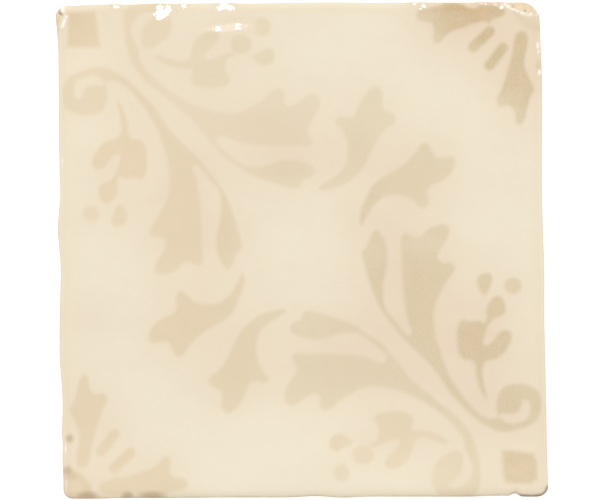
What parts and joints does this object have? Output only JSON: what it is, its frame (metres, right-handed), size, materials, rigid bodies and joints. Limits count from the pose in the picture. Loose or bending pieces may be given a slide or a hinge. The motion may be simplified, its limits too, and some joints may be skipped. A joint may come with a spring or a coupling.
{
  "type": "wall tile",
  "caption": "Square hand-made glazed ceramic wall tile with uneven edges, softly rounded arrises, a nicked lower edge, a worn corner and a scroll ornament on its face.",
  "frame": {"origin": "middle of the back face, on the surface that the tile lies on", "axes": "+Z out of the glazed face, +Y towards the tile's top edge as it hangs on a wall, +X to its right seen from the front"},
  "size_m": [0.13, 0.1324, 0.01],
  "materials": {
    "cream_glaze": "gloss"
  },
  "bodies": {
    "root": {"wall_tile": "cream_glaze"}
  },
  "joints": []
}
